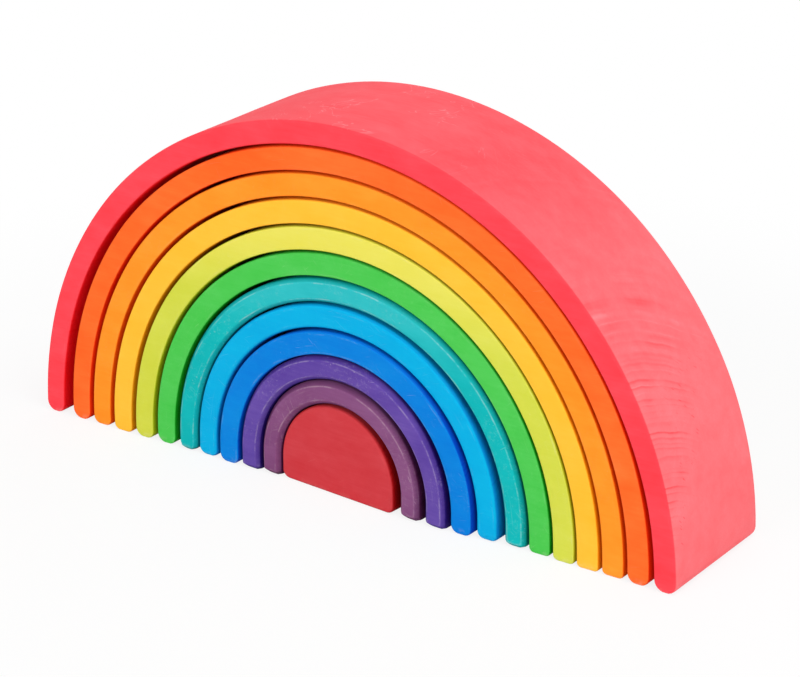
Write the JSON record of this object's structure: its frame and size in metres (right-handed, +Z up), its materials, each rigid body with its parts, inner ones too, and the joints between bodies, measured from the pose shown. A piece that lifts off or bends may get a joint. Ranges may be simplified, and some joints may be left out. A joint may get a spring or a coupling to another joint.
{
  "type": "nesting rainbow stacking block set",
  "caption": "Nest of loose stained-wood half-round arches of one depth, each standing inside the next around a solid half-round block, for stacking, balancing and open-ended play.",
  "frame": {"origin": "middle of the outer arch's width and of the nest's depth, on the surface that the feet stand on", "axes": "+X along the width of the nest, to the right seen from the front; +Y from the front to the back; +Z up"},
  "size_m": [0.35, 0.0756, 0.175],
  "materials": {
    "red_stain": "matt water stain, sanded, with pale worn edges",
    "orange_stain": "matt water stain, sanded, with pale worn edges",
    "amber_stain": "matt water stain, sanded, with pale worn edges",
    "yellow_stain": "matt water stain, sanded, with pale worn edges",
    "lime_stain": "matt water stain, sanded, with pale worn edges",
    "green_stain": "matt water stain, sanded, with pale worn edges",
    "teal_stain": "matt water stain, sanded, with pale worn edges",
    "sky_stain": "matt water stain, sanded, with pale worn edges",
    "blue_stain": "matt water stain, sanded, with pale worn edges",
    "violet_stain": "matt water stain, sanded, with pale worn edges",
    "plum_stain": "matt water stain, sanded, with pale worn edges",
    "crimson_stain": "matt water stain, sanded, with pale worn edges"
  },
  "bodies": {
    "red": {"red_arch": "red_stain"},
    "orange": {"orange_arch": "orange_stain"},
    "amber": {"amber_arch": "amber_stain"},
    "yellow": {"yellow_arch": "yellow_stain"},
    "lime": {"lime_arch": "lime_stain"},
    "green": {"green_arch": "green_stain"},
    "teal": {"teal_arch": "teal_stain"},
    "sky": {"sky_arch": "sky_stain"},
    "blue": {"blue_arch": "blue_stain"},
    "violet": {"violet_arch": "violet_stain"},
    "plum": {"plum_arch": "plum_stain"},
    "core": {"core_block": "crimson_stain"}
  },
  "joints": [
    {"name": "orange_slide", "type": "slide", "parent": "red", "child": "orange", "axis": [0, -1, 0], "range_m": [-0.08, 0.08]},
    {"name": "amber_slide", "type": "slide", "parent": "orange", "child": "amber", "axis": [0, -1, 0], "range_m": [-0.08, 0.08]},
    {"name": "yellow_slide", "type": "slide", "parent": "amber", "child": "yellow", "axis": [0, -1, 0], "range_m": [-0.08, 0.08]},
    {"name": "lime_slide", "type": "slide", "parent": "yellow", "child": "lime", "axis": [0, -1, 0], "range_m": [-0.08, 0.08]},
    {"name": "green_slide", "type": "slide", "parent": "lime", "child": "green", "axis": [0, -1, 0], "range_m": [-0.08, 0.08]},
    {"name": "teal_slide", "type": "slide", "parent": "green", "child": "teal", "axis": [0, -1, 0], "range_m": [-0.08, 0.08]},
    {"name": "sky_slide", "type": "slide", "parent": "teal", "child": "sky", "axis": [0, -1, 0], "range_m": [-0.08, 0.08]},
    {"name": "blue_slide", "type": "slide", "parent": "sky", "child": "blue", "axis": [-0.0105, -0.9999, 0], "range_m": [-0.08, 0.08]},
    {"name": "violet_slide", "type": "slide", "parent": "blue", "child": "violet", "axis": [-0.0209, -0.9998, 0], "range_m": [-0.08, 0.08]},
    {"name": "plum_slide", "type": "slide", "parent": "violet", "child": "plum", "axis": [-0.0384, -0.9993, 0], "range_m": [-0.08, 0.08]},
    {"name": "core_slide", "type": "slide", "parent": "plum", "child": "core", "axis": [-0.0558, -0.9984, 0], "range_m": [-0.08, 0.08]}
  ]
}
